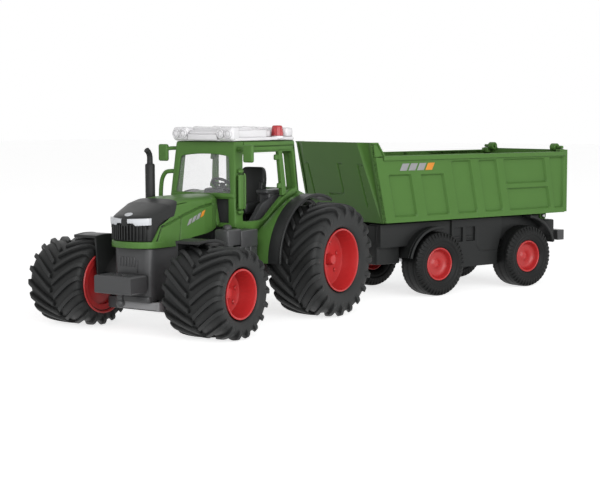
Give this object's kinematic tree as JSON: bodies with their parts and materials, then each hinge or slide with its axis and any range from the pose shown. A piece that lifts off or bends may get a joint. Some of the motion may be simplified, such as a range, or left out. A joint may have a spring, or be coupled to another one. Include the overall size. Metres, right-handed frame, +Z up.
{
  "type": "toy tractor with tipping trailer",
  "caption": "Green toy farm tractor with lugged tyres, open cab and steering front wheels, hitched to a tandem-axle tipping trailer with a hinged tailgate.",
  "frame": {"origin": "centre of the base of the whole outfit's box, on the ground", "axes": "+Y to the rear along the tractor, +X to the tractor's left, +Z up"},
  "size_m": [0.244, 0.5352, 0.157],
  "materials": {
    "green_plastic": "satin moulded green plastic",
    "grey_plastic": "satin moulded dark grey plastic",
    "black_plastic": "matt moulded black plastic",
    "tyre_rubber": "soft matt black rubber",
    "red_plastic": "satin moulded red plastic",
    "roof_plastic": "clear to milky moulded plastic",
    "lamp_plastic": "bright lamp lens",
    "windshield_plastic": "clear grey-tinted pane",
    "beacon_plastic": "red lens",
    "steel": "plain steel",
    "gear_plastic": "unpainted acetal"
  },
  "bodies": {
    "tractor": {"beacon": "beacon_plastic", "belly_cover": "grey_plastic", "cab": "green_plastic", "chassis": "grey_plastic", "exhaust": "black_plastic", "front_axle": "grey_plastic", "front_weight": "grey_plastic", "grab_rail_left": "green_plastic", "grab_rail_right": "green_plastic", "grille": "black_plastic", "headlight_left": "lamp_plastic", "headlight_right": "lamp_plastic", "hitch_pin": "steel", "hood": "green_plastic", "hood_top": "black_plastic", "interior": "black_plastic", "mirror_left": "green_plastic", "mirror_right": "green_plastic", "motor": "steel", "rear_fender_left": "black_plastic", "rear_fender_right": "black_plastic", "roof": "roof_plastic", "seat": "black_plastic", "side_tank_left": "grey_plastic", "side_tank_right": "grey_plastic", "steering_wheel": "black_plastic", "windshield": "windshield_plastic"},
    "steer_left": {"knuckle_left": "black_plastic", "front_fender_left": "black_plastic"},
    "steer_right": {"knuckle_right": "black_plastic", "front_fender_right": "black_plastic"},
    "tie_rod": {"tie_rod": "black_plastic"},
    "front_wheel_left": {"front_rim_left": "red_plastic", "front_tyre_left": "tyre_rubber"},
    "front_wheel_right": {"front_rim_right": "red_plastic", "front_tyre_right": "tyre_rubber"},
    "rear_wheels": {"rear_axle": "steel", "drive_gear": "gear_plastic", "rear_rim_left": "red_plastic", "rear_rim_right": "red_plastic", "rear_tyre_left": "tyre_rubber", "rear_tyre_right": "tyre_rubber"},
    "pinion": {"motor_pinion": "gear_plastic"},
    "trailer": {"trailer_chassis": "grey_plastic", "drawbar": "grey_plastic", "tip_hinge_rod": "steel", "rear_bumper": "grey_plastic"},
    "trailer_front_wheels": {"trailer_axle_front": "steel", "trailer_rim_front_left": "red_plastic", "trailer_rim_front_right": "red_plastic", "trailer_tyre_front_left": "tyre_rubber", "trailer_tyre_front_right": "tyre_rubber"},
    "trailer_rear_wheels": {"trailer_axle_rear": "steel", "trailer_rim_rear_left": "red_plastic", "trailer_rim_rear_right": "red_plastic", "trailer_tyre_rear_left": "tyre_rubber", "trailer_tyre_rear_right": "tyre_rubber"},
    "tipper": {"tipper_body": "green_plastic"},
    "tailgate": {"tailgate": "green_plastic"}
  },
  "joints": [
    {"name": "steer_left", "type": "hinge", "parent": "tractor", "child": "steer_left", "pos_m": [0.00111, -0.22964, 0], "axis": [0, 0, 1], "range_deg": [-20, 20]},
    {"name": "steer_right", "type": "hinge", "parent": "tractor", "child": "steer_right", "pos_m": [-0.05889, -0.22964, 0], "axis": [0, 0, 1], "range_deg": [-20.5, 20.5]},
    {"name": "tie_rod_slide", "type": "slide", "parent": "tractor", "child": "tie_rod", "axis": [1, 0, 0], "range_m": [-0.0047, 0.0047]},
    {"name": "front_spin_left", "type": "hinge", "parent": "steer_left", "child": "front_wheel_left", "pos_m": [0.06366, -0.22964, 0.03457], "axis": [1, 0, 0], "continuous": true},
    {"name": "front_spin_right", "type": "hinge", "parent": "steer_right", "child": "front_wheel_right", "pos_m": [-0.12144, -0.22964, 0.03457], "axis": [1, 0, 0], "continuous": true},
    {"name": "rear_spin", "type": "hinge", "parent": "tractor", "child": "rear_wheels", "pos_m": [-0.02889, -0.08984, 0.047], "axis": [1, 0, 0], "continuous": true},
    {"name": "pinion_spin", "type": "hinge", "parent": "tractor", "child": "pinion", "pos_m": [-0.02889, -0.10804, 0.047], "axis": [1, 0, 0], "continuous": true},
    {"name": "hitch_yaw", "type": "hinge", "parent": "tractor", "child": "trailer", "pos_m": [-0.02889, -0.02884, 0.041], "axis": [0, 0, 1], "range_deg": [-20, 59]},
    {"name": "trailer_front_spin", "type": "hinge", "parent": "trailer", "child": "trailer_front_wheels", "pos_m": [0.01311, 0.0873, 0.02934], "axis": [0.9404, -0.3401, 0], "continuous": true},
    {"name": "trailer_rear_spin", "type": "hinge", "parent": "trailer", "child": "trailer_rear_wheels", "pos_m": [0.05167, 0.19394, 0.02934], "axis": [0.9404, -0.3401, 0], "continuous": true},
    {"name": "tip", "type": "hinge", "parent": "trailer", "child": "tipper", "pos_m": [0.06667, 0.23541, 0.065], "axis": [-0.9404, 0.3401, 0], "range_deg": [0, 48]},
    {"name": "tailgate_swing", "type": "hinge", "parent": "tipper", "child": "tailgate", "pos_m": [0.0682, 0.23964, 0.133], "axis": [0.9404, -0.3401, 0], "range_deg": [0, 70]}
  ],
  "couplings": [
    {"joint": "steer_right", "follows": "steer_left", "ratio": 1},
    {"joint": "tie_rod_slide", "follows": "steer_left", "m_per_rad": -0.0128},
    {"joint": "pinion_spin", "follows": "rear_spin", "ratio": -2}
  ]
}
